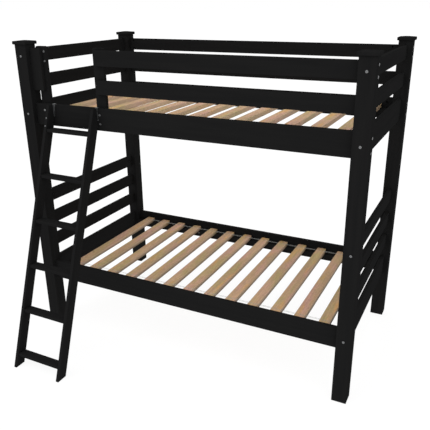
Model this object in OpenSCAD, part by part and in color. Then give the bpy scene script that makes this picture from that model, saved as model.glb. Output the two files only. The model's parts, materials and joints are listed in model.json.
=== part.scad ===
// Bunk bed for two single mattresses, with a lift-off ladder.
// Millimetres. +X runs along the bed to the right, +Y to the back, +Z up.
// The origin is on the floor, under the middle of the whole object, ladder included.

/* [Bed] */
// Outside length over the posts
bed_length = 2000; // [1960:1:2060]
// Outside width over the posts
bed_width = 1060; // [1040:1:1120]
// Side of the square post
post_side = 78; // [74:1:84]
// Height of the post without its cap
post_height = 1760; // [1755:1:1800]
// Thickness of every rail and board
board_t = 22; // [20:1:24]

/* [Caps] */
// How far a cap reaches past the post
cap_over = 8; // [6:1:12]
// Height of the square part of a cap
cap_t = 18; // [12:1:20]
// Height of the low crown on a cap
cap_crown = 4; // [3:1:6]

/* [Rails] */
// Height of a narrow rail or guard board
narrow_h = 76; // [70:1:84]
// Step from one narrow rail down to the next
rail_pitch = 150; // [146:1:156]
// Height of a wide rail, at mattress level
wide_h = 124; // [118:1:130]
// Top of the highest rail of the upper bunk
upper_top = 1735; // [1725:1:1745]
// Top of the highest guard board on the front
front_top = 1740; // [1735:1:1745]
// Top of the wide rails of the upper bunk
upper_deck = 1436; // [1430:1:1440]
// Top of the highest rail of the lower bunk
lower_top = 885; // [875:1:895]
// Top of the wide rails of the lower bunk
lower_deck = 432; // [426:1:434]
// Top of the front side rail of the lower bunk, a little lower than the others
lower_front_top = 426; // [420:1:434]

/* [Slats] */
// Number of slats in each bunk
slat_count = 13; // [9:1:13]
// Width of a slat
slat_w = 58; // [54:1:66]
// Thickness of a slat
slat_t = 24; // [18:1:26]
// Step from one slat to the next
slat_pitch = 137; // [130:1:137]
// Middle of the first slat from the left end of the bed
slat_first = 186.5; // [183:0.5:192]
// Radius of a slat's corners
slat_r = 10; // [6:1:14]
// How far the top of the slats lies below the top of the wide rails
slat_drop = 38; // [30:1:44]

/* [Guard] */
// Width of a guard upright
upright_w = 65; // [58:1:68]
// Left edge of the left upright from the left end of the bed
left_upright_x = 106; // [104:1:112]
// Left edge of the right upright from the left end of the bed
right_upright_x = 500; // [500:1:510]
// Top of the uprights
upright_top = 1751; // [1748:1:1754]

/* [Ladder] */
// Left face of the ladder from the left end of the bed
ladder_x = 188; // [184:1:192]
// Width over the ladder's rails
ladder_w = 330; // [320:1:334]
// Thickness of a ladder rail
ladder_rail_t = 19; // [18:1:22]
// Depth of a ladder rail, square to its length
ladder_rail_d = 60; // [54:1:64]
// Lean of the ladder from upright, in degrees
lean = 19.7; // [18.5:0.1:20.5]
// How far the ladder's feet stand out in front of the bed
ladder_reach = 518; // [512:1:524]
// Number of treads
tread_count = 6; // [5:1:6]
// Top of the first tread above the floor
first_tread = 78; // [70:1:90]
// Step from one tread to the next
tread_pitch = 246; // [236:1:250]
// Depth of a tread
tread_d = 52; // [44:1:54]
// Thickness of a tread
tread_t = 18; // [16:1:22]

/* [Hidden] */
$fn = 48;

// Frame: the bed's left front corner, seen from the origin.
bed_x = -bed_length / 2;
bed_y = (ladder_reach - bed_width - cap_over) / 2;

// Clear length and width between the posts.
clear_length = bed_length - 2 * post_side;
clear_width = bed_width - 2 * post_side;

// How far a cap's crown is set in from its edges.
crown_in = 5;

// The boards lie in the middle of the posts.
board_in = (post_side - board_t) / 2;
inner_y = board_in + board_t;
post_mid = post_side / 2;

// Slats and what carries them.
slat_foot_drop = slat_drop + slat_t;
cord_t = 1;
cord_w = 2;
cord_pair = 4.5;
cord_front_in = 123;
cord_back_in = 96;
cleat_h = 30;
cleat_d = 40;
end_gap = 1;
upper_slat_front = inner_y + board_t + 2 * end_gap;
lower_slat_front = inner_y + end_gap;
slat_back = bed_width - inner_y - end_gap;

// Fasteners.
bolt_r = 3;
head_r = 6.5;
head_h = 3;
socket_r = 2.6;
socket_depth = 2;
bolt_grip = 45;
nut_r = 5;
nut_length = 16;
nut_in = 34;
wide_pair = 34;
narrow_pair = 26;
upright_pair = 25;
side_bolt_in = 14;
side_bolt_y = board_in + side_bolt_in;
dowel_r = 4;
dowel_length = 60;
dowel_pair = 20;
wide_dowel_pair = 30;
screw_r = 2;
screw_head_r = 4;
screw_head_h = 2;
guard_screw_length = 34;
guard_screw_pair = 22;
cleat_screw_bite = 14;
cleat_screw_length = cleat_d + cleat_screw_bite;
cleat_screw_count = 5;
cleat_screw_first = 250;
cleat_screw_step = (bed_length - 2 * cleat_screw_first) / (cleat_screw_count - 1);
tread_screw_length = 45;
tread_screw_pair = 14;
hook_screw_length = 18;
hook_screw_in = 16;
bolt_tip_in = 3;
// How far a cutting shape runs past the face it opens.
cut_over = 1;

// Uprights and guards.
upright_foot_in = 14;
upright_foot = upper_deck - wide_h + upright_foot_in;
upright_round = 8;
short_guard_lap = 45;
short_guard_end = left_upright_x + short_guard_lap;
short_guard_foot = upper_top - rail_pitch - narrow_h;
front_guard_h = front_top - upper_top + narrow_h;
short_screw_x = left_upright_x + short_guard_lap / 2;
long_guard_in = 22;
long_guard_x = right_upright_x + long_guard_in;
long_screw_x = (long_guard_x + right_upright_x + upright_w) / 2;
low_bolt_in = 37;
top_bolt_in = 8;
top_bolt_x = left_upright_x + upright_w - top_bolt_in;
top_bolt_length = board_t - bolt_tip_in;
upright_bolt_length = 2 * board_t - bolt_tip_in;

// Ladder.
slope = tan(lean);
rail_run = ladder_rail_d / cos(lean);
ladder_right_x = ladder_x + ladder_w - ladder_rail_t;
housing = 6;
hook_t = 3;
hook_gap = 0.3;
hook_drop = 68;
hook_head_d = 12.5;
hook_under = 3;
left_head_w = 17;
left_stem_top = 17;
left_stem_foot = 6;
right_head_w = 14;
right_stem = 4;
head_lap = 2.5;
hook_y = board_in - hook_gap - hook_t;
plumb_z = (ladder_reach - rail_run + hook_y) / slope;
pin_r = 3;
pin_bore_r = 3.5;
pin_length = 20;
pin_in = 8;
pin_y = board_in + pin_in;
left_head_x = ladder_x + ladder_rail_t - head_lap;
right_head_x = ladder_right_x + ladder_rail_t + right_stem - right_head_w;
left_pin_x = left_head_x + left_head_w / 2;
right_pin_x = right_head_x + right_head_w / 2;
front_screw_z = [1325, 1367];

// Colours.
black_paint = [0.11, 0.11, 0.11];
slat_wood = [0.72, 0.57, 0.43];
steel = [0.62, 0.62, 0.62];
cord_grey = [0.7, 0.7, 0.68];
beech = [0.8, 0.68, 0.5];

// Heights of the bolts that hold the end rails, one to each post and rail.
end_bolt_rails = [
    [upper_top, narrow_h], [upper_deck, wide_h],
    [lower_top, narrow_h], [lower_deck, wide_h]
];
end_bolt_z = [for (rail = end_bolt_rails) rail[0] - rail[1] / 2];
// Heights of the bolts that hold the long rails, in pairs.
guard_bolt_z = [for (s = [-1, 1]) upper_top - narrow_h / 2 + s * narrow_pair];
side_bolt_z = [for (s = [-1, 1]) upper_deck - wide_h / 2 + s * wide_pair];
long_bolt_z = concat(guard_bolt_z, side_bolt_z);
// Heights and places of the bolts that hold the uprights.
upright_bolt_z = [for (s = [-1, 1]) upper_deck - wide_h / 2 + s * upright_pair];
upright_bolt_x = [left_upright_x + low_bolt_in, right_upright_x + upright_w / 2];
// Heights of the dowels in the rails that no bolt holds.
plain_rails = [upper_top - rail_pitch, lower_top - rail_pitch, lower_top - 2 * rail_pitch];
end_dowel_z = [for (top = plain_rails, s = [-1, 1]) top - narrow_h / 2 + s * dowel_pair];
guard_dowel_z = [for (s = [-1, 1]) plain_rails[0] - narrow_h / 2 + s * dowel_pair];
low_dowel_z = [for (s = [-1, 1]) lower_deck - wide_h / 2 + s * wide_dowel_pair];
long_dowel_z = concat(guard_dowel_z, low_dowel_z);

function rail_x(end) = end == 0 ? post_mid : bed_length - post_mid;
function long_mid(side) = side == 0 ? post_mid : bed_width - post_mid;
function tread_z(i) = first_tread - tread_t / 2 + (i - 1) * tread_pitch;
function tread_y(i) = -ladder_reach + rail_run / 2 + slope * tread_z(i);

// ---- helpers ----------------------------------------------------------

// Places its children in the bed's own frame, from its left front corner.
module on_bed() {
    translate([bed_x, bed_y, 0])
        children();
}

// Cylinders along +X and along +Y.
module rod_x(r, length) {
    rotate([0, 90, 0])
        cylinder(r = r, h = length);
}

module rod_y(r, length) {
    rotate([-90, 0, 0])
        cylinder(r = r, h = length);
}

// A socket-head bolt along +Y. Its head stands in front of the point it is drawn at.
module bolt_y(length) {
    difference() {
        union() {
            translate([0, -head_h, 0])
                rod_y(head_r, head_h);
            rod_y(bolt_r, length);
        }
        translate([0, -head_h, 0])
            rotate([-90, 0, 0])
                cylinder(r = socket_r, h = socket_depth, $fn = 6);
    }
}

// A wood screw along +Y with a flat head let in flush.
module screw_y(length) {
    rod_y(screw_head_r, screw_head_h);
    rod_y(screw_r, length);
}

// Looks into the bed from the outside of a front (0) or back (1) post.
module from_side(side, x, z) {
    translate([x, side * bed_width, z])
        mirror([0, side, 0])
            children();
}

// Looks into the bed from the outside of a left (0) or right (1) post, with +Y along the rails.
module from_end(end, y, z) {
    translate([end * bed_length, y, z])
        mirror([end, 0, 0])
            rotate([0, 0, -90])
                children();
}

// ---- bores and what fills them ----------------------------------------

module end_bolt_bores(end, side) {
    for (z = end_bolt_z)
        from_side(side, rail_x(end), z)
            rod_y(bolt_r, post_side + bolt_grip);
}

module end_nuts(end, side) {
    for (z = end_bolt_z)
        from_side(side, rail_x(end), z)
            translate([end == 0 ? board_t / 2 - nut_length : -board_t / 2, post_side + nut_in, 0])
                rod_x(nut_r, nut_length);
}

module end_dowels(end, side) {
    for (z = end_dowel_z)
        from_side(side, rail_x(end), z)
            translate([0, post_side - dowel_length / 2, 0])
                rod_y(dowel_r, dowel_length);
}

function bolt_line(side) = side == 0 ? side_bolt_y : bed_width - side_bolt_y;

module long_bolt_bores(end, side) {
    for (z = long_bolt_z)
        from_end(end, bolt_line(side), z)
            rod_y(bolt_r, post_side + bolt_grip);
}

module long_nuts(end, side) {
    reach = post_side + nut_in;
    for (z = long_bolt_z)
        from_side(side, end == 0 ? reach : bed_length - reach, z)
            translate([0, inner_y - nut_length, 0])
                rod_y(nut_r, nut_length);
}

module long_dowels(end, side) {
    for (z = long_dowel_z)
        from_end(end, long_mid(side), z)
            translate([0, post_side - dowel_length / 2, 0])
                rod_y(dowel_r, dowel_length);
}

module upright_bolt_bores() {
    for (x = upright_bolt_x, z = upright_bolt_z)
        translate([x, board_in, z])
            rod_y(bolt_r, upright_bolt_length);
}

module top_bolt_bores() {
    for (z = guard_bolt_z)
        translate([top_bolt_x, inner_y, z])
            rod_y(bolt_r, top_bolt_length);
}

// Screws that hold the guard boards, driven from the backs of the uprights.
module guard_screw_set() {
    for (x = [short_screw_x, long_screw_x], i = [0, 1], s = [-1, 1])
        translate([x, inner_y + board_t, upper_top - i * rail_pitch - narrow_h / 2 + s * guard_screw_pair])
            mirror([0, 1, 0])
                screw_y(guard_screw_length);
}

module cleat_screw_set(side, deck) {
    for (i = [0 : cleat_screw_count - 1])
        from_side(side, cleat_screw_first + i * cleat_screw_step, deck - slat_foot_drop - cleat_h / 2)
            translate([0, inner_y + cleat_d, 0])
                mirror([0, 1, 0])
                    screw_y(cleat_screw_length);
}

// Bores in the top edge of the front side rail for the pins of the ladder's hooks.
module pin_bores() {
    for (x = [left_pin_x, right_pin_x])
        translate([x, pin_y, upper_deck - pin_length - cut_over])
            cylinder(r = pin_bore_r, h = pin_length + 2 * cut_over);
}

// ---- posts and caps ---------------------------------------------------

module post(end, side) {
    color(black_paint)
        on_bed()
            difference() {
                translate([end * (bed_length - post_side), side * (bed_width - post_side), 0])
                    cube([post_side, post_side, post_height]);
                end_bolt_bores(end, side);
                end_dowels(end, side);
                long_bolt_bores(end, side);
                long_dowels(end, side);
            }
}

// A square slab with a low crown set in from its edges.
module cap(end, side) {
    cap_side = post_side + 2 * cap_over;
    color(black_paint)
        on_bed()
            translate([end * (bed_length - post_side) - cap_over,
                       side * (bed_width - post_side) - cap_over, post_height]) {
                cube([cap_side, cap_side, cap_t]);
                translate([crown_in, crown_in, cap_t])
                    cube([cap_side - 2 * crown_in, cap_side - 2 * crown_in, cap_crown]);
            }
}

// ---- rails and boards -------------------------------------------------

// A rail between the two posts of one end. top is its upper edge.
module end_rail(end, top, height) {
    color(black_paint)
        on_bed()
            difference() {
                translate([rail_x(end) - board_t / 2, post_side, top - height])
                    cube([board_t, clear_width, height]);
                for (side = [0, 1]) {
                    end_bolt_bores(end, side);
                    end_nuts(end, side);
                    end_dowels(end, side);
                }
            }
}

// A long board on the front (0) or back (1) of the bed.
module long_board(side, x, length, top, height) {
    y = side == 0 ? board_in : bed_width - inner_y;
    difference() {
        translate([x, y, top - height])
            cube([length, board_t, height]);
        for (end = [0, 1]) {
            long_bolt_bores(end, side);
            long_nuts(end, side);
            long_dowels(end, side);
        }
    }
}

// A side rail, between the posts, with its cleat's screws and what the front one carries.
module side_rail(side, deck, top) {
    color(black_paint)
        on_bed()
            difference() {
                long_board(side, post_side, clear_length, top, top - deck + wide_h);
                cleat_screw_set(side, deck);
                if (side == 0 && deck == upper_deck) {
                    upright_bolt_bores();
                    pin_bores();
                }
            }
}

module back_guard(top) {
    color(black_paint)
        on_bed()
            long_board(1, post_side, clear_length, top, narrow_h);
}

module front_guard(top, height) {
    color(black_paint)
        on_bed()
            difference() {
                long_board(0, long_guard_x, bed_length - post_side - long_guard_x, top, height);
                guard_screw_set();
            }
}

// One wide board, as high as both long guards and the gap between them.
module short_guard() {
    color(black_paint)
        on_bed()
            difference() {
                long_board(0, post_side, short_guard_end - post_side, front_top, front_top - short_guard_foot);
                guard_screw_set();
            }
}

// A flat upright behind the front side rail, with its top corners rounded.
module upright(x) {
    color(black_paint)
        on_bed()
            difference() {
                translate([x, inner_y + board_t, 0])
                    rotate([90, 0, 0])
                        linear_extrude(board_t)
                            upright_outline();
                upright_bolt_bores();
                top_bolt_bores();
                guard_screw_set();
            }
}

module upright_outline() {
    shoulder = upright_top - upright_round;
    translate([0, upright_foot])
        square([upright_w, shoulder - upright_foot]);
    translate([upright_round, shoulder])
        square([upright_w - 2 * upright_round, upright_round]);
    for (x = [upright_round, upright_w - upright_round])
        translate([x, shoulder])
            circle(upright_round);
}

// ---- cleats and slats -------------------------------------------------

// A ledge screwed to the inside of a side rail. The upper front one is notched for the uprights.
module cleat(side, deck) {
    foot = deck - slat_foot_drop - cleat_h;
    notched = side == 0 && deck == upper_deck;
    color(black_paint)
        on_bed()
            difference() {
                translate([post_side, side == 0 ? inner_y : bed_width - inner_y - cleat_d, foot])
                    cube([clear_length, cleat_d, cleat_h]);
                if (notched)
                    for (x = [left_upright_x, right_upright_x])
                        translate([x, inner_y - cut_over, foot - cut_over])
                            cube([upright_w, board_t + cut_over, cleat_h + 2 * cut_over]);
                cleat_screw_set(side, deck);
            }
}

// The front edges of the cords that run along the slats, two pairs of them.
cord_y = [
    for (y = [cord_front_in, bed_width - cord_back_in], s = [-1, 1])
        y + s * cord_pair - cord_w / 2
];

// A slat with rounded corners, from its front end to its back end, grooved for the cords.
module slat(front) {
    length = slat_back - front;
    translate([-slat_w / 2, 0, 0])
        difference() {
            translate([0, front, 0])
                linear_extrude(slat_t)
                    slat_outline(length);
            for (y = cord_y)
                translate([-cut_over, y, slat_t - cord_t])
                    cube([slat_w + 2 * cut_over, cord_w, cord_t + cut_over]);
        }
}

module slat_outline(length) {
    translate([slat_r, 0])
        square([slat_w - 2 * slat_r, length]);
    translate([0, slat_r])
        square([slat_w, length - 2 * slat_r]);
    for (x = [slat_r, slat_w - slat_r], y = [slat_r, length - slat_r])
        translate([x, y])
            circle(slat_r);
}

module slats(deck, front) {
    color(slat_wood)
        on_bed()
            for (i = [0 : slat_count - 1])
                translate([slat_first + i * slat_pitch, 0, deck - slat_foot_drop])
                    slat(front);
}

// Thin cords let into the tops of the slats, which keep them evenly spaced.
module slat_cords(deck) {
    length = (slat_count - 1) * slat_pitch + slat_w;
    color(cord_grey)
        on_bed()
            for (y = cord_y)
                translate([slat_first - slat_w / 2, y, deck - slat_drop - cord_t])
                    cube([length, cord_w, cord_t]);
}

// ---- fasteners of the bed ---------------------------------------------

module end_rail_bolts() {
    color(steel)
        on_bed()
            for (end = [0, 1], side = [0, 1], z = end_bolt_z)
                from_side(side, rail_x(end), z)
                    bolt_y(post_side + bolt_grip);
}

module side_rail_bolts() {
    color(steel)
        on_bed()
            for (end = [0, 1], side = [0, 1], z = long_bolt_z)
                from_end(end, bolt_line(side), z)
                    bolt_y(post_side + bolt_grip);
}

module upright_bolts() {
    color(steel)
        on_bed() {
            for (x = upright_bolt_x, z = upright_bolt_z)
                translate([x, board_in, z])
                    bolt_y(upright_bolt_length);
            for (z = guard_bolt_z)
                translate([top_bolt_x, inner_y, z])
                    bolt_y(top_bolt_length);
        }
}

// Round cross nuts let into the inner faces of the rails, threaded for the bolts.
module barrel_nuts() {
    color(steel)
        on_bed()
            for (end = [0, 1], side = [0, 1])
                difference() {
                    union() {
                        end_nuts(end, side);
                        long_nuts(end, side);
                    }
                    end_bolt_bores(end, side);
                    long_bolt_bores(end, side);
                }
}

module dowels() {
    color(beech)
        on_bed()
            for (end = [0, 1], side = [0, 1]) {
                end_dowels(end, side);
                long_dowels(end, side);
            }
}

module cleat_screws() {
    color(steel)
        on_bed()
            for (side = [0, 1], deck = [lower_deck, upper_deck])
                cleat_screw_set(side, deck);
}

module guard_screws() {
    color(steel)
        on_bed()
            guard_screw_set();
}

// ---- ladder -----------------------------------------------------------

// The side of a ladder rail: level foot, leaning edges, plumb back and level top at the side rail.
module ladder_rail_outline() {
    polygon([
        [-ladder_reach, 0],
        [-ladder_reach + rail_run, 0],
        [hook_y, plumb_z],
        [hook_y, upper_deck],
        [-ladder_reach + slope * upper_deck, upper_deck]
    ]);
}

module ladder_rail(x) {
    color(black_paint)
        on_bed()
            difference() {
                translate([x, 0, 0])
                    rotate([90, 0, 90])
                        linear_extrude(ladder_rail_t)
                            ladder_rail_outline();
                for (i = [1 : tread_count])
                    tread_block(i);
                tread_screw_set();
                hook_screw_set();
                front_screws();
            }
}

// A flat tread, housed in both rails.
module tread_block(i) {
    translate([ladder_x + ladder_rail_t - housing, tread_y(i) - tread_d / 2, tread_z(i) - tread_t / 2])
        cube([ladder_w - 2 * ladder_rail_t + 2 * housing, tread_d, tread_t]);
}

module ladder_tread(i) {
    color(black_paint)
        on_bed()
            difference() {
                tread_block(i);
                tread_screw_set();
            }
}

module tread_screw_set() {
    for (i = [1 : tread_count], s = [-1, 1]) {
        translate([ladder_x, tread_y(i) + s * tread_screw_pair, tread_z(i)])
            rotate([0, 0, -90])
                screw_y(tread_screw_length);
        translate([ladder_x + ladder_w, tread_y(i) + s * tread_screw_pair, tread_z(i)])
            rotate([0, 0, 90])
                screw_y(tread_screw_length);
    }
}

module hook_screw_set() {
    for (x = [ladder_x, ladder_right_x], drop = [hook_screw_in, hook_drop - hook_screw_in])
        translate([x + ladder_rail_t / 2, hook_y + hook_t, upper_deck - drop])
            mirror([0, 1, 0])
                screw_y(hook_screw_length);
}

// Two screws in the front edge of the left rail, square to the edge.
module front_screws() {
    for (z = front_screw_z)
        translate([ladder_x + ladder_rail_t / 2, -ladder_reach + slope * z, z])
            rotate([-lean, 0, 0])
                screw_y(hook_screw_length);
}

// A steel plate behind the rail, just below its top, with a stem that runs down beside the rail,
// a head that rests on the side rail and a pin that drops into it.
module ladder_hook(x, stem_top, stem_foot, head_x, head_w) {
    color(steel)
        on_bed() {
            difference() {
                translate([x, hook_y + hook_t, upper_deck])
                    rotate([90, 0, 0])
                        linear_extrude(hook_t)
                            polygon([
                                [0, -hook_under],
                                [ladder_rail_t, -hook_under],
                                [ladder_rail_t, hook_t],
                                [ladder_rail_t + stem_top, hook_t],
                                [ladder_rail_t + stem_foot, -hook_drop],
                                [0, -hook_drop]
                            ]);
                hook_screw_set();
            }
            translate([head_x, hook_y, upper_deck])
                cube([head_w, hook_head_d + hook_t, hook_t]);
            translate([head_x + head_w / 2, pin_y, upper_deck - pin_length])
                cylinder(r = pin_r, h = pin_length + hook_t);
        }
}

module left_hook() {
    ladder_hook(ladder_x, left_stem_top, left_stem_foot, left_head_x, left_head_w);
}

// The right hook is narrower, with its stem trimmed straight.
module right_hook() {
    ladder_hook(ladder_right_x, right_stem, right_stem, right_head_x, right_head_w);
}

module ladder_screws() {
    color(steel)
        on_bed() {
            tread_screw_set();
            hook_screw_set();
            front_screws();
        }
}

// ---- nodes ------------------------------------------------------------

post(0, 0);  // post_front_left
post(1, 0);  // post_front_right
post(0, 1);  // post_back_left
post(1, 1);  // post_back_right
cap(0, 0);  // cap_front_left
cap(1, 0);  // cap_front_right
cap(0, 1);  // cap_back_left
cap(1, 1);  // cap_back_right
side_rail(0, upper_deck, upper_deck);  // upper_side_rail_front
side_rail(1, upper_deck, upper_deck);  // upper_side_rail_back
side_rail(0, lower_deck, lower_front_top);  // lower_side_rail_front
side_rail(1, lower_deck, lower_deck);  // lower_side_rail_back
end_rail(0, upper_top, narrow_h);  // upper_left_rail_1
end_rail(0, upper_top - rail_pitch, narrow_h);  // upper_left_rail_2
end_rail(0, upper_deck, wide_h);  // upper_left_rail_3
end_rail(1, upper_top, narrow_h);  // upper_right_rail_1
end_rail(1, upper_top - rail_pitch, narrow_h);  // upper_right_rail_2
end_rail(1, upper_deck, wide_h);  // upper_right_rail_3
end_rail(0, lower_top, narrow_h);  // lower_left_rail_1
end_rail(0, lower_top - rail_pitch, narrow_h);  // lower_left_rail_2
end_rail(0, lower_top - 2 * rail_pitch, narrow_h);  // lower_left_rail_3
end_rail(0, lower_deck, wide_h);  // lower_left_rail_4
end_rail(1, lower_top, narrow_h);  // lower_right_rail_1
end_rail(1, lower_top - rail_pitch, narrow_h);  // lower_right_rail_2
end_rail(1, lower_top - 2 * rail_pitch, narrow_h);  // lower_right_rail_3
end_rail(1, lower_deck, wide_h);  // lower_right_rail_4
back_guard(upper_top);  // back_guard_1
back_guard(upper_top - rail_pitch);  // back_guard_2
front_guard(front_top, front_guard_h);  // front_guard_1
front_guard(upper_top - rail_pitch, narrow_h);  // front_guard_2
short_guard();
upright(left_upright_x);  // upright_left
upright(right_upright_x);  // upright_right
cleat(0, upper_deck);  // upper_cleat_front
cleat(1, upper_deck);  // upper_cleat_back
cleat(0, lower_deck);  // lower_cleat_front
cleat(1, lower_deck);  // lower_cleat_back
slats(upper_deck, upper_slat_front);  // upper_slats
slats(lower_deck, lower_slat_front);  // lower_slats
slat_cords(upper_deck);  // upper_slat_cords
slat_cords(lower_deck);  // lower_slat_cords
end_rail_bolts();
side_rail_bolts();
upright_bolts();
barrel_nuts();
dowels();
cleat_screws();
guard_screws();
ladder_rail(ladder_x);  // ladder_rail_left
ladder_rail(ladder_right_x);  // ladder_rail_right
ladder_tread(1);  // ladder_tread_1
ladder_tread(2);  // ladder_tread_2
ladder_tread(3);  // ladder_tread_3
ladder_tread(4);  // ladder_tread_4
ladder_tread(5);  // ladder_tread_5
ladder_tread(6);  // ladder_tread_6
left_hook();  // ladder_hook_left
right_hook();  // ladder_hook_right
ladder_screws();
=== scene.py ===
"""Bunk bed with a lift-off ladder: painted boards, bare slats and zinc-plated fittings.

Metres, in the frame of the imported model. The painted boards are rebuilt here with rounded
edges, in the boxes of their CAD nodes. The slats are the CAD's own meshes with eased edges,
and the hooks, barrel nuts and dowels are the CAD's nodes with better materials. Every
separate piece of wood has its own stretch of grain, which runs along it.
"""
import json
import math
import random

import bmesh
import bpy
from mathutils import Matrix, Vector


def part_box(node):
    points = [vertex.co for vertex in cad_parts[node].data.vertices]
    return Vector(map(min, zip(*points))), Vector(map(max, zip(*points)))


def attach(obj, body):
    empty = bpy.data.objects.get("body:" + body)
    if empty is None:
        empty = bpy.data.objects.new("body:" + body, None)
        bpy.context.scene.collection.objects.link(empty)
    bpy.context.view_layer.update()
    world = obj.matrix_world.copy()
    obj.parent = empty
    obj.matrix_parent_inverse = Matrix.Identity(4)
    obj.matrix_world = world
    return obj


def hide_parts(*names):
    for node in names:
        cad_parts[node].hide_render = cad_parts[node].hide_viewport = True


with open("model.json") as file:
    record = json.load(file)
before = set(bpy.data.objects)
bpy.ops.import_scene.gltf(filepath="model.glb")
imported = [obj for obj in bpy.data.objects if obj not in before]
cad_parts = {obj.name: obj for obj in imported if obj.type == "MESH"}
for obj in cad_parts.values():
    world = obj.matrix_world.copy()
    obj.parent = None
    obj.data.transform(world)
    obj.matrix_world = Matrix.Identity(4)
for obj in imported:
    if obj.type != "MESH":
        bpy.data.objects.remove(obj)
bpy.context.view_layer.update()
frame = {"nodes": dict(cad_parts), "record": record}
scene = bpy.context.scene
scene.view_settings.view_transform = "Standard"

X, Y, Z = Vector((1, 0, 0)), Vector((0, 1, 0)), Vector((0, 0, 1))
AXES = (X, Y, Z)
dice = random.Random(11)


# ---- camera ------------------------------------------------------------

CAMERA_AT = Vector((1.45355, -2.68328, 1.98073))
CAMERA_YAW = math.radians(26.62)
CAMERA_PITCH = math.radians(21.13)
CAMERA_ROLL = math.radians(-0.58)
CAMERA_LENS_MM = 46.54
CAMERA_SENSOR_MM = 36


def make_camera():
    cam = bpy.data.cameras.new("camera")
    cam.lens = CAMERA_LENS_MM
    cam.sensor_width = CAMERA_SENSOR_MM
    obj = bpy.data.objects.new("camera", cam)
    scene.collection.objects.link(obj)
    turn = Matrix.Rotation(CAMERA_YAW, 4, "Z") @ Matrix.Rotation(math.pi / 2 - CAMERA_PITCH, 4, "X")
    obj.matrix_world = Matrix.Translation(CAMERA_AT) @ turn @ Matrix.Rotation(CAMERA_ROLL, 4, "Z")
    scene.camera = obj


# ---- node helpers ------------------------------------------------------

class Nodes:
    """A short way to write a material's node tree. The mapping scales every texture."""

    def __init__(self, name):
        self.material = bpy.data.materials.new(name)
        self.material.use_nodes = True
        self.tree = self.material.node_tree
        self.tree.nodes.clear()
        out = self.tree.nodes.new("ShaderNodeOutputMaterial")
        self.shader = self.tree.nodes.new("ShaderNodeBsdfPrincipled")
        self.link(self.shader.outputs[0], out.inputs["Surface"])

    def link(self, a, b):
        self.tree.links.new(a, b)

    def put(self, socket, value):
        if isinstance(value, bpy.types.NodeSocket):
            self.link(value, socket)
        else:
            socket.default_value = value

    def attribute(self, name, kind="Vector"):
        node = self.tree.nodes.new("ShaderNodeAttribute")
        node.attribute_name = name
        return node.outputs[kind]

    def object_coords(self):
        return self.tree.nodes.new("ShaderNodeTexCoord").outputs["Object"]

    def stretch(self, coords, scale, shift=(0, 0, 0)):
        node = self.tree.nodes.new("ShaderNodeMapping")
        self.link(coords, node.inputs["Vector"])
        node.inputs["Scale"].default_value = scale
        node.inputs["Location"].default_value = shift
        return node.outputs[0]

    def noise(self, coords, detail=3.0, rough=0.5, distortion=0.0):
        node = self.tree.nodes.new("ShaderNodeTexNoise")
        self.link(coords, node.inputs["Vector"])
        node.inputs["Scale"].default_value = 1.0
        node.inputs["Detail"].default_value = detail
        node.inputs["Roughness"].default_value = rough
        node.inputs["Distortion"].default_value = distortion
        return node.outputs["Fac"]

    def wave(self, coords, distortion):
        node = self.tree.nodes.new("ShaderNodeTexWave")
        node.wave_type = "BANDS"
        node.bands_direction = "Y"
        self.link(coords, node.inputs["Vector"])
        node.inputs["Scale"].default_value = 1.0
        node.inputs["Distortion"].default_value = distortion
        node.inputs["Detail"].default_value = 2.0
        return node.outputs["Fac"]

    def span(self, value, low, high, to_low, to_high):
        """value from low..high to to_low..to_high, clamped."""
        node = self.tree.nodes.new("ShaderNodeMapRange")
        self.link(value, node.inputs["Value"])
        ends = (("From Min", low), ("From Max", high), ("To Min", to_low), ("To Max", to_high))
        for socket, number in ends:
            node.inputs[socket].default_value = number
        return node.outputs[0]

    def ramp(self, value, *stops):
        node = self.tree.nodes.new("ShaderNodeValToRGB")
        self.link(value, node.inputs[0])
        ends = node.color_ramp.elements
        while len(ends) < len(stops):
            ends.new(0.5)
        for end, (at, color) in zip(ends, stops):
            end.position = at
            end.color = (*color, 1)
        return node.outputs[0]

    def mix(self, fac, a, b, how="MIX"):
        node = self.tree.nodes.new("ShaderNodeMix")
        node.data_type = "RGBA"
        node.blend_type = how
        for socket, value in ((node.inputs[0], fac), (node.inputs[6], a), (node.inputs[7], b)):
            if isinstance(value, tuple) and len(value) == 3:
                value = (*value, 1)
            self.put(socket, value)
        return node.outputs[2]

    def grey(self, value):
        """A number as a grey colour."""
        node = self.tree.nodes.new("ShaderNodeCombineColor")
        for i in range(3):
            self.link(value, node.inputs[i])
        return node.outputs[0]

    def math(self, how, a, b=0.0):
        node = self.tree.nodes.new("ShaderNodeMath")
        node.operation = how
        self.put(node.inputs[0], a)
        self.put(node.inputs[1], b)
        return node.outputs[0]

    def bump(self, height, distance, strength, under=None):
        node = self.tree.nodes.new("ShaderNodeBump")
        node.inputs["Distance"].default_value = distance
        node.inputs["Strength"].default_value = strength
        self.link(height, node.inputs["Height"])
        if under is not None:
            self.link(under, node.inputs["Normal"])
        return node.outputs[0]

    def finish(self, color, roughness, normal=None, **fixed):
        for name, value in (("Base Color", color), ("Roughness", roughness)):
            if isinstance(value, tuple):
                value = (*value, 1)
            self.put(self.shader.inputs[name], value)
        if normal is not None:
            self.link(normal, self.shader.inputs["Normal"])
        for name, value in fixed.items():
            self.shader.inputs[name.replace("_", " ")].default_value = value
        return self.material


# ---- materials ---------------------------------------------------------

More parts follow.
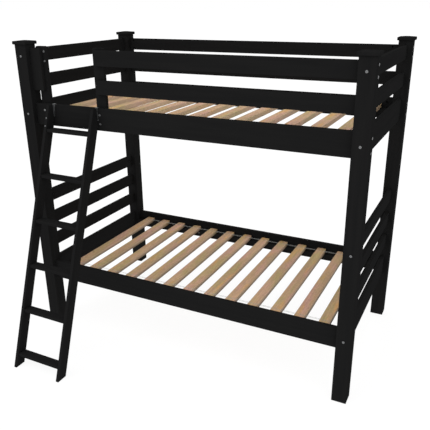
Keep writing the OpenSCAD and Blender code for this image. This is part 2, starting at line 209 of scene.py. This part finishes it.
def black_paint():
    """Dull black over planed wood: the grain shows faintly through the film."""
    n = Nodes("black_paint")
    grain = n.attribute("grain")
    broad = n.noise(n.stretch(grain, (2.5, 45, 45)), detail=4, distortion=0.3)
    pores = n.noise(n.stretch(grain, (22, 620, 620)), detail=3, rough=0.6)
    film = n.noise(n.stretch(grain, (260, 260, 260)), detail=2)
    color = n.ramp(broad, (0.3, (0.0101, 0.0101, 0.0103)), (0.7, (0.012, 0.0119, 0.0119)))
    roughness = n.math("ADD", n.span(broad, 0.3, 0.7, 0.5, 0.58), n.span(film, 0.3, 0.7, -0.03, 0.03))
    normal = n.bump(broad, 0.0006, 0.25)
    normal = n.bump(pores, 0.00012, 0.45, normal)
    normal = n.bump(film, 0.00008, 0.3, normal)
    return n.finish(color, roughness, normal, Specular_IOR_Level=0.0)


def slat_wood():
    """Bare sawn wood: drifts of olive, orange and pinkish brown, fine fibres, painted shade along the
    slats' long edges and painted light and shade on their sides.
    """
    n = Nodes("slat_wood")
    grain = n.attribute("grain")
    drift = n.noise(n.stretch(grain, (2.4, 9, 9)), detail=3, rough=0.55)
    patch = n.noise(n.stretch(grain, (4.5, 15, 15), (7, 3, 1)), detail=3, rough=0.6)
    warm = n.noise(n.stretch(grain, (5, 30, 30), (2, 9, 4)), detail=2)
    bands = n.noise(n.stretch(grain, (2.6, 120, 70)), detail=5, rough=0.6, distortion=0.4)
    fleck = n.noise(n.stretch(grain, (48, 120, 120), (4, 5, 8)), detail=4, rough=0.7)
    fibre = n.noise(n.stretch(grain, (26, 950, 500)), detail=4, rough=0.65)
    color = n.ramp(
        drift,
        (0.3, (0.405, 0.27, 0.16)),
        (0.5, (0.455, 0.294, 0.169)),
        (0.7, (0.5, 0.328, 0.2)),
    )
    color = n.mix(n.span(patch, 0.35, 0.48, 0.85, 0.0), color, (0.4, 0.308, 0.13))
    color = n.mix(n.span(patch, 0.52, 0.65, 0.0, 0.85), color, (0.51, 0.288, 0.22))
    color = n.mix(n.span(warm, 0.57, 0.69, 0.0, 0.8), color, (0.55, 0.305, 0.11))
    color = n.mix(1.0, color, n.grey(n.span(bands, 0.3, 0.7, 0.85, 1.14)), "MULTIPLY")
    color = n.mix(1.0, color, n.grey(n.span(fleck, 0.3, 0.7, 0.84, 1.14)), "MULTIPLY")
    color = n.mix(1.0, color, n.grey(n.span(fibre, 0.3, 0.7, 0.9, 1.08)), "MULTIPLY")
    # painted shade: the colour turns grey-brown towards each slat's long edges, where shade falls
    painted_edge_shade = n.span(n.math("ABSOLUTE", n.attribute("across", "Fac")), 0.8, 1.0, 0.0, 0.45)
    color = n.mix(painted_edge_shade, color, (0.27, 0.22, 0.16))
    # painted light and shade: the colour of the slats' sides is multiplied by a factor written on each
    # corner
    color = n.mix(1.0, color, n.grey(n.attribute("painted_side_shading", "Fac")), "MULTIPLY")
    roughness = n.span(bands, 0.3, 0.7, 0.62, 0.76)
    normal = n.bump(bands, 0.0007, 0.3)
    normal = n.bump(fibre, 0.00018, 0.6, normal)
    return n.finish(color, roughness, normal, Specular_IOR_Level=0.25)


def steel():
    """Zinc-plated steel: a dull sheen with a faint crystalline mottle."""
    n = Nodes("steel")
    coords = n.object_coords()
    mottle = n.noise(n.stretch(coords, (420, 420, 420)), detail=3)
    scratch = n.noise(n.stretch(coords, (1800, 1800, 150)), detail=2)
    color = n.ramp(mottle, (0.3, (0.17, 0.172, 0.175)), (0.7, (0.25, 0.253, 0.257)))
    roughness = n.span(mottle, 0.3, 0.7, 0.42, 0.54)
    return n.finish(color, roughness, n.bump(scratch, 0.00004, 0.4), Metallic=1.0)


def cord():
    """Twisted cord: slanted plies and loose fibres."""
    n = Nodes("cord")
    coords = n.object_coords()
    plies = n.wave(n.stretch(coords, (500, 900, 900)), distortion=1.5)
    fluff = n.noise(n.stretch(coords, (900, 900, 900)), detail=3)
    # painted shade: the darker part of each band stands for shade in the grooves between the plies
    color = n.mix(1.0, (0.42, 0.42, 0.4), n.grey(n.span(plies, 0.0, 1.0, 0.75, 1.0)), "MULTIPLY")
    normal = n.bump(fluff, 0.0001, 0.4, n.bump(plies, 0.0003, 0.6))
    return n.finish(color, 0.85, normal, Specular_IOR_Level=0.2)


def beech():
    """Turned beech with short flecks."""
    n = Nodes("beech")
    coords = n.object_coords()
    fleck = n.noise(n.stretch(coords, (300, 300, 900)), detail=3)
    color = n.ramp(fleck, (0.35, (0.5, 0.33, 0.19)), (0.65, (0.64, 0.46, 0.29)))
    return n.finish(color, n.span(fleck, 0.3, 0.7, 0.6, 0.7), n.bump(fleck, 0.0001, 0.3))


MATERIAL = {make.__name__: make() for make in (black_paint, slat_wood, steel, cord, beech)}


# ---- mesh helpers ------------------------------------------------------

BOARD_EDGE = 0.0012      # radius of a planed board's edges
SHARP = 0.5              # angle in radians from which an edge is rounded
SAME_POINT = 1e-5        # points of a CAD mesh nearer than this are one
SAME_FACE = math.radians(1)  # faces of a CAD mesh that meet at less than this are one
ROUND = 24               # points round a fastener
CORNER_STEPS = 6         # steps round a board's rounded corner


def settle(name, bm, nodes, slot, body, along=X, across=Y, rounded=BOARD_EDGE, steps=3):
    """Rounds the edges of bm, writes its grain, and makes it a piece that stands for the CAD nodes."""
    bmesh.ops.recalc_face_normals(bm, faces=bm.faces)
    if rounded:
        sharp = [e for e in bm.edges if len(e.link_faces) == 2 and e.calc_face_angle() > SHARP]
        bmesh.ops.bevel(
            bm, geom=sharp, offset=rounded, offset_type="OFFSET", segments=steps,
            profile=0.5, affect="EDGES", clamp_overlap=True,
        )
    write_grain(bm, along, across)
    for face in bm.faces:
        face.smooth = True
    mesh = bpy.data.meshes.new(name)
    bm.to_mesh(mesh)
    bm.free()
    obj = bpy.data.objects.new(name, mesh)
    scene.collection.objects.link(obj)
    mesh.materials.append(MATERIAL[slot])
    obj.modifiers.new("normals", "WEIGHTED_NORMAL").keep_sharp = True
    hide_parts(*nodes)
    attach(obj, body)
    return obj


def write_grain(bm, along, across):
    """Stores each vertex's place in its own board, with the board's length first.
    Every separate piece of wood gets its own stretch of grain."""
    layer = bm.verts.layers.float_vector.new("grain")
    third = along.cross(across)
    for part in loose_parts(bm):
        shift = Vector((dice.uniform(0, 40), dice.uniform(0, 9), dice.uniform(0, 9)))
        for v in part:
            v[layer] = Vector((v.co.dot(along), v.co.dot(across), v.co.dot(third))) + shift


def loose_parts(bm):
    """The points of bm, in a list for each part that hangs together."""
    seen, parts = set(), []
    for start in bm.verts:
        if start in seen:
            continue
        seen.add(start)
        part, waiting = [], [start]
        while waiting:
            v = waiting.pop()
            part.append(v)
            for e in v.link_edges:
                other = e.other_vert(v)
                if other not in seen:
                    seen.add(other)
                    waiting.append(other)
        parts.append(part)
    return parts


def islands(node):
    """The separate solids of a CAD node, each a list of points."""
    bm = bmesh.new()
    bm.from_mesh(frame["nodes"][node].data)
    bmesh.ops.remove_doubles(bm, verts=bm.verts, dist=SAME_POINT)
    found = [[v.co.copy() for v in part] for part in loose_parts(bm)]
    bm.free()
    return found


def corners(points):
    """The lowest and highest corners of the points' box."""
    low = Vector([min(p[i] for p in points) for i in range(3)])
    high = Vector([max(p[i] for p in points) for i in range(3)])
    return low, high


def add_box(bm, low, high):
    size = high - low
    place = Matrix.Translation((low + high) / 2) @ Matrix.Diagonal((*size, 1))
    bmesh.ops.create_cube(bm, size=1, matrix=place)


def add_plate(bm, outline, origin, u, v, thickness):
    """Extrudes an outline, given in the directions u and v from origin, along u x v."""
    base = [bm.verts.new(origin + u * a + v * b) for a, b in outline]
    top = [bm.verts.new(p.co + u.cross(v) * thickness) for p in base]
    bm.faces.new(base)
    bm.faces.new(top)
    for i in range(len(base)):
        j = (i + 1) % len(base)
        bm.faces.new((base[i], base[j], top[j], top[i]))


def rounded_outline(width, height, radius, round_at):
    """A rectangle from (0, 0), with the corners named in round_at rounded.
    Corner 0 is at (0, 0), and the others follow anticlockwise."""
    points = []
    for i, (x, y) in enumerate(((0, 0), (width, 0), (width, height), (0, height))):
        if i not in round_at:
            points.append((x, y))
            continue
        cx, cy = abs(x - radius), abs(y - radius)
        for k in range(CORNER_STEPS + 1):
            turn = math.pi * (1 + i / 2 + k / (2 * CORNER_STEPS))
            points.append((cx + radius * math.cos(turn), cy + radius * math.sin(turn)))
    return points


def ring(bm, centre, side, up, points):
    return [bm.verts.new(centre + side * a + up * b) for a, b in points]


def bridge(bm, a, b):
    for i in range(len(a)):
        j = (i + 1) % len(a)
        bm.faces.new((a[i], a[j], b[j], b[i]))


def polar(reach):
    """ROUND points about (0, 0), each as far out as reach gives for its angle."""
    turns = [2 * math.pi * k / ROUND for k in range(ROUND)]
    return [(reach(turn) * math.cos(turn), reach(turn) * math.sin(turn)) for turn in turns]


def circle_points(radius):
    return polar(lambda turn: radius)


def cross_points(length, half):
    """A plus sign, its arms length long and twice half wide."""
    def reach(turn):
        off_arm = abs((turn + math.pi / 4) % (math.pi / 2) - math.pi / 4)
        return min(length, half / math.sin(off_arm)) if off_arm > 1e-6 else length
    return polar(reach)


def hexagon_points(radius):
    flat = radius * math.cos(math.pi / 6)
    return polar(lambda turn: flat / math.cos(turn % (math.pi / 3) - math.pi / 6))


# ---- wooden parts ------------------------------------------------------

POST_EDGE = 0.0015
TREAD_EDGE = 0.002
SLAT_EDGE = 0.0004
CAP_SLAB = 0.018         # height of a cap's slab, under its crown
CAP_CHAMFER = 0.002
CAP_EDGE = 0.001         # radius of the chamfer's own edges
CAP_CROWN = 0.2          # the flat top of a cap's crown, as a part of its width
SQUARE = ((-1, -1), (1, -1), (1, 1), (-1, 1))
UPRIGHT_CORNER = 0.008
PAINTED_SIDE_SHADING = {           # painted light and shade on the slats' sides: factors on their colour at the foot and at the rim
    "upper": (1.1, 1.3),
    "lower": (0.3, 1.3),
}
SIDEWAYS = 0.8           # a direction with this much of X in it looks sideways
AT_END = 1e-4            # points nearer than this to a box's face are on it


def plain_board(node, body="bed", along=0, rounded=BOARD_EDGE):
    """A board as long, wide and thick as its CAD node."""
    bm = bmesh.new()
    add_box(bm, *(Vector(c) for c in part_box(node)))
    settle(node + "_wood", bm, [node], "black_paint", body, AXES[along], AXES[(along + 1) % 3], rounded)


def make_boards():
    for side in ("front", "back"):
        for end in ("left", "right"):
            plain_board(f"post_{side}_{end}", along=2, rounded=POST_EDGE)
        for deck in ("upper", "lower"):
            plain_board(f"{deck}_side_rail_{side}")
    for end in ("left", "right"):
        for deck, count in (("upper", 3), ("lower", 4)):
            for i in range(1, count + 1):
                plain_board(f"{deck}_{end}_rail_{i}", along=1)
    for kind in ("back", "front"):
        for i in (1, 2):
            plain_board(f"{kind}_guard_{i}")
    plain_board("short_guard", along=2)
    for i in range(1, 7):
        plain_board(f"ladder_tread_{i}", body="ladder", rounded=TREAD_EDGE)
    for cleat in ("upper_cleat_back", "lower_cleat_front", "lower_cleat_back"):
        plain_board(cleat)


def make_caps():
    """A square slab with softened edges under a very low hipped crown."""
    for side in ("front", "back"):
        for end in ("left", "right"):
            node = f"cap_{side}_{end}"
            low, high = (Vector(c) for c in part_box(node))
            middle = (low + high) / 2
            half = (high.x - low.x) / 2
            bm = bmesh.new()
            levels = (
                (half - CAP_CHAMFER, low.z), (half, low.z + CAP_CHAMFER),
                (half, low.z + CAP_SLAB - CAP_CHAMFER), (half - CAP_CHAMFER, low.z + CAP_SLAB),
                (half * CAP_CROWN, high.z),
            )
            rings = []
            for reach, z in levels:
                at = Vector((middle.x, middle.y, z))
                rings.append(ring(bm, at, X, Y, [(reach * a, reach * b) for a, b in SQUARE]))
            for a, b in zip(rings, rings[1:]):
                bridge(bm, a, b)
            bm.faces.new(rings[0])
            bm.faces.new(rings[-1])
            settle(node + "_wood", bm, [node], "black_paint", "bed", Y, X, rounded=CAP_EDGE, steps=2)


def make_uprights():
    """Flat boards with rounded upper corners."""
    for end in ("left", "right"):
        node = "upright_" + end
        low, high = (Vector(c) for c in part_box(node))
        size = high - low
        bm = bmesh.new()
        outline = rounded_outline(size.x, size.z, UPRIGHT_CORNER, (2, 3))
        add_plate(bm, outline, Vector((low.x, high.y, low.z)), X, Z, size.y)
        settle(node + "_wood", bm, [node], "black_paint", "bed", Z, X)


def make_notched_cleat():
    """The upper front cleat, notched where each upright stands in front of it."""
    node = "upper_cleat_front"
    low, high = (Vector(c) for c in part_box(node))
    outline = [(low.x, low.y)]
    for end in ("left", "right"):
        left, right = (Vector(c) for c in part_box("upright_" + end))
        outline += [(left.x, low.y), (left.x, right.y), (right.x, right.y), (right.x, low.y)]
    outline += [(high.x, low.y), (high.x, high.y), (low.x, high.y)]
    bm = bmesh.new()
    add_plate(bm, outline, Vector((0, 0, low.z)), X, Y, high.z - low.z)
    settle(node + "_wood", bm, [node], "black_paint", "bed", X, Y)


def make_slats():
    """The CAD's own slats, grooved for the cords, with their edges eased."""
    for deck, painted_shading_ends in PAINTED_SIDE_SHADING.items():
        node = deck + "_slats"
        bm = bmesh.new()
        bm.from_mesh(frame["nodes"][node].data)
        bmesh.ops.remove_doubles(bm, verts=bm.verts, dist=SAME_POINT)
        bmesh.ops.dissolve_limit(bm, angle_limit=SAME_FACE, verts=bm.verts, edges=bm.edges)
        obj = settle(node + "_wood", bm, [node], "slat_wood", "bed", Y, X, rounded=SLAT_EDGE, steps=2)
        # writes where the painted edge shade falls and the painted light and shade on the slats' sides
        mark_painted_shading(obj, [corners(points) for points in islands(node)], *painted_shading_ends)


def mark_painted_shading(obj, slats, painted_foot_shading, painted_rim_shading):
    """Tells the wood how far each point lies across its slat, from -1 to 1, which places the painted
    shade along its edges, and how much painted light and shade the slats' sides get at their foot and
    at their rim."""
    mesh = obj.data
    across = mesh.attributes.new("across", "FLOAT", "POINT")
    height = {}
    for v in mesh.vertices:
        low, high = min(slats, key=lambda slat: abs(slat[0].x + slat[1].x - 2 * v.co.x))
        across.data[v.index].value = (2 * v.co.x - low.x - high.x) / (high.x - low.x)
        height[v.index] = (v.co.z - low.z) / (high.z - low.z)
    # painted light and shade on the slats' sides, graded from their foot to their rim
    painted_side_shading = mesh.attributes.new("painted_side_shading", "FLOAT", "CORNER")
    for face in mesh.polygons:
        side = abs(face.normal.x) > SIDEWAYS
        for corner, v in zip(face.loop_indices, face.vertices):
            painted_side_shading.data[corner].value = painted_foot_shading + (painted_rim_shading - painted_foot_shading) * height[v] if side else 1.0


def make_ladder_rails():
    """A leaning plank with a level foot, a plumb cut at the back and a level top."""
    treads = [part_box(f"ladder_tread_{i}") for i in (1, 6)]
    first, last = ((Vector(a) + Vector(b)) / 2 for a, b in treads)
    lean = (last - first).normalized()
    slope = lean.y / lean.z
    for end in ("left", "right"):
        node = "ladder_rail_" + end
        low, high = (Vector(c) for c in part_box(node))
        points = [p for part in islands(node) for p in part]
        foot = [p.y for p in points if p.z < low.z + AT_END]
        back = [p.z for p in points if p.y > high.y - AT_END]
        outline = [
            (min(foot), low.z), (max(foot), low.z), (high.y, min(back)),
            (high.y, high.z), (min(foot) + slope * high.z, high.z),
        ]
        bm = bmesh.new()
        add_plate(bm, outline, Vector((low.x, 0, 0)), Y, Z, high.x - low.x)
        settle(node + "_wood", bm, [node], "black_paint", "ladder", lean, X)


# ---- fittings ----------------------------------------------------------

BOLT_HEAD_R = 0.0065
BOLT_HEAD_H = 0.003
BOLT_EDGE = 0.0009
BOLT_EDGE_STEPS = 3
BOLT_SHANK_R = 0.003
SOCKET_R = 0.0026
SOCKET_RIM = 0.0008
SOCKET_CHAMFER = 0.0003
SOCKET_DEPTH = 0.002
SCREW_HEAD_R = 0.004
SCREW_HEAD_H = 0.002
SCREW_EDGE = 0.0003
SCREW_SHANK_R = 0.002
SCREW_PROUD = 0.0004     # how far a screw's head stands out of the wood
CROSS_REACH = 0.0023
CROSS_HALF = 0.00055
CROSS_DEPTH = 0.0014
CROSS_TAPER = (0.5, 0.8)  # what is left of the cross's reach and width at its bottom
HOOK_EDGE = 0.0006
HOOK_SHARP = math.radians(40)
AXIS_ROUNDS = 30         # rounds of power iteration, far more than it needs to settle
PAST_SHANK = 1.3         # points more than this many shank radii out are the head's


def shaft(points, shank_r):
    """Where a bolt's or screw's head ends, the way it looks out, and the whole length."""
    centre = sum(points, Vector()) / len(points)
    axis = max((p - centre for p in points), key=lambda d: d.length)
    for _ in range(AXIS_ROUNDS):
        axis = sum(((p - centre) * (p - centre).dot(axis) for p in points), Vector()).normalized()
    along = [(p - centre).dot(axis) for p in points]
    wide = [a for a, p in zip(along, points) if (p - centre - axis * a).length > shank_r * PAST_SHANK]
    if sum(wide) / len(wide) < (min(along) + max(along)) / 2:
        axis = -axis
        along = [-a for a in along]
    return centre + axis * max(along), axis, max(along) - min(along)


def add_turned(bm, top, outward, levels):
    """Joins rings of points, each given with its height over top, into a closed solid."""
    side = outward.orthogonal().normalized()
    up = outward.cross(side)
    rings = [ring(bm, top + outward * out, side, up, points) for points, out in levels]
    for a, b in zip(rings, rings[1:]):
        bridge(bm, a, b)
    bm.faces.new(rings[0])
    bm.faces.new(rings[-1])


def add_bolt(bm, top, outward, length):
    """A low round head with a hexagonal socket, and its shank."""
    levels = [
        (circle_points(BOLT_SHANK_R), -length),
        (circle_points(BOLT_SHANK_R), -BOLT_HEAD_H),
        (circle_points(BOLT_HEAD_R), -BOLT_HEAD_H),
    ]
    for k in range(BOLT_EDGE_STEPS + 1):
        turn = math.pi / 2 * k / BOLT_EDGE_STEPS
        reach = BOLT_HEAD_R - BOLT_EDGE + BOLT_EDGE * math.cos(turn)
        levels.append((circle_points(reach), BOLT_EDGE * math.sin(turn) - BOLT_EDGE))
    levels.append((circle_points(SOCKET_R + SOCKET_RIM), 0))
    levels.append((hexagon_points(SOCKET_R), -SOCKET_CHAMFER))
    levels.append((hexagon_points(SOCKET_R), -SOCKET_DEPTH))
    add_turned(bm, top, outward, levels)


def add_screw(bm, top, outward, length):
    """A flat head with a cross recess, a hair proud of the wood, and its shank."""
    taper_reach, taper_half = CROSS_TAPER
    add_turned(bm, top + outward * SCREW_PROUD, outward, [
        (circle_points(SCREW_SHANK_R), -length),
        (circle_points(SCREW_SHANK_R), -SCREW_HEAD_H),
        (circle_points(SCREW_HEAD_R), -SCREW_HEAD_H),
        (circle_points(SCREW_HEAD_R), -SCREW_EDGE),
        (circle_points(SCREW_HEAD_R - SCREW_EDGE), 0),
        (cross_points(CROSS_REACH, CROSS_HALF), 0),
        (cross_points(CROSS_REACH * taper_reach, CROSS_HALF * taper_half), -CROSS_DEPTH),
    ])


def make_fasteners():
    """Bolts and screws. The screws in the ladder's treads, which look sideways, are painted over."""
    for kind, names, shank_r, add, body in (
        ("bolts", ("end_rail", "side_rail", "upright"), BOLT_SHANK_R, add_bolt, "bed"),
        ("screws", ("cleat", "guard"), SCREW_SHANK_R, add_screw, "bed"),
        ("screws", ("ladder",), SCREW_SHANK_R, add_screw, "ladder"),
    ):
        for name in names:
            node = f"{name}_{kind}"
            bare, painted = bmesh.new(), bmesh.new()
            for points in islands(node):
                top, outward, length = shaft(points, shank_r)
                sideways = body == "ladder" and abs(outward.x) > SIDEWAYS
                add(painted if sideways else bare, top, outward, length)
            settle(node + "_steel", bare, [node], "steel", body, rounded=0)
            if painted.verts:
                settle(node + "_painted", painted, [], "black_paint", body, rounded=0)


def soften_hooks():
    """Takes the sharp edges off the hooks' plates."""
    for end in ("left", "right"):
        hook = frame["nodes"]["ladder_hook_" + end]
        hook.modifiers.new("weld", "WELD").merge_threshold = SAME_POINT
        bevel = hook.modifiers.new("edges", "BEVEL")
        bevel.width = HOOK_EDGE
        bevel.segments = 3
        bevel.limit_method = "ANGLE"
        bevel.angle_limit = HOOK_SHARP
        hook.modifiers.new("normals", "WEIGHTED_NORMAL")


# ---- cords -------------------------------------------------------------

RING_STEP = 0.006        # along the cord from one ring to the next
RING_POINTS = 8
PLY_TURN = math.radians(40)
PLY_OVAL = 0.72          # the narrow width of the two plies, as a part of the wide one
STAPLE_WIRE = 0.0011
STAPLE_PROUD = 0.0004
STAPLE_EDGE = 0.0004
STAPLE_WANDER = 0.004    # how far a staple may sit from the middle of its slat


def make_cords():
    """Pairs of thin twisted cords along the slats, and a staple over each pair on every slat."""
    for deck in ("upper", "lower"):
        node = deck + "_slat_cords"
        runs = sorted((corners(points) for points in islands(node)), key=lambda run: run[0].y)
        bm = bmesh.new()
        for low, high in runs:
            add_twisted(bm, low, high)
        settle(node + "_twisted", bm, [node], "cord", "bed", rounded=0)

        bm = bmesh.new()
        slats = [corners(points) for points in islands(deck + "_slats")]
        for near, far in zip(runs[::2], runs[1::2]):
            for low, high in slats:
                x = (low.x + high.x) / 2 + dice.uniform(-STAPLE_WANDER, STAPLE_WANDER)
                top = near[1].z + STAPLE_PROUD
                ends = Vector((STAPLE_WIRE / 2, STAPLE_WIRE, 0))
                add_box(
                    bm, Vector((x, near[0].y, high.z)) - ends,
                    Vector((x, far[1].y, top)) + ends,
                )
        settle(deck + "_staples", bm, [], "steel", "bed", rounded=STAPLE_EDGE, steps=2)


def add_twisted(bm, low, high):
    """Two plies: an oval that turns as it goes along X, kept inside the box."""
    middle = (low + high) / 2
    half_w, half_h = (high.y - low.y) / 2, (high.z - low.z) / 2
    steps = round((high.x - low.x) / RING_STEP)
    rings = []
    for k in range(steps + 1):
        turn = k * PLY_TURN
        at = Vector((low.x + (high.x - low.x) * k / steps, middle.y, middle.z))
        points = []
        for i in range(RING_POINTS):
            a = 2 * math.pi * i / RING_POINTS
            reach = PLY_OVAL + (1 - PLY_OVAL) * abs(math.cos(a - turn))
            points.append((half_w * reach * math.cos(a), half_h * reach * math.sin(a)))
        rings.append(ring(bm, at, Y, Z, points))
    for a, b in zip(rings, rings[1:]):
        bridge(bm, a, b)
    bm.faces.new(rings[0])
    bm.faces.new(rings[-1])


# ---- stage -------------------------------------------------------------

FLOOR_HALF = 120
FLOOR_GLOW = 0.9         # keeps the floor almost white, with only faint shadows
LIGHTS = (               # name, azimuth and height in degrees, strength, spread in degrees
    ("key", -35, 62, 0.9, 50),
    ("fill", 75, 35, 0.2, 60),
)


def make_stage():
    """A plain floor, white all round, and two wide soft lights."""
    bm = bmesh.new()
    bmesh.ops.create_grid(bm, x_segments=1, y_segments=1, size=FLOOR_HALF)
    mesh = bpy.data.meshes.new("floor")
    bm.to_mesh(mesh)
    bm.free()
    floor = bpy.data.objects.new("floor", mesh)
    scene.collection.objects.link(floor)
    mesh.materials.append(Nodes("floor").finish(
        (0.12, 0.12, 0.12), 0.9, Specular_IOR_Level=0.0,
        Emission_Color=(1, 1, 1, 1), Emission_Strength=FLOOR_GLOW,
    ))

    world = bpy.data.worlds.new("studio")
    scene.world = world
    world.use_nodes = True
    background = world.node_tree.nodes["Background"]
    background.inputs["Color"].default_value = (1, 1, 1, 1)
    background.inputs["Strength"].default_value = 1.0

    for name, azimuth, height, strength, spread in LIGHTS:
        light = bpy.data.lights.new(name, "SUN")
        light.energy = strength
        light.angle = math.radians(spread)
        lamp = bpy.data.objects.new(name, light)
        scene.collection.objects.link(lamp)
        lamp.rotation_euler = (math.radians(90 - height), 0, math.radians(azimuth))


# ---- build -------------------------------------------------------------

make_camera()
SLOTS = {part["node"]: part["material_slot"] for part in frame["record"]["subparts"]}
for node, obj in frame["nodes"].items():
    obj.data.materials.clear()
    obj.data.materials.append(MATERIAL[SLOTS[node]])
make_boards()
make_caps()
make_uprights()
make_notched_cleat()
make_slats()
make_ladder_rails()
make_fasteners()
soften_hooks()
make_cords()
make_stage()
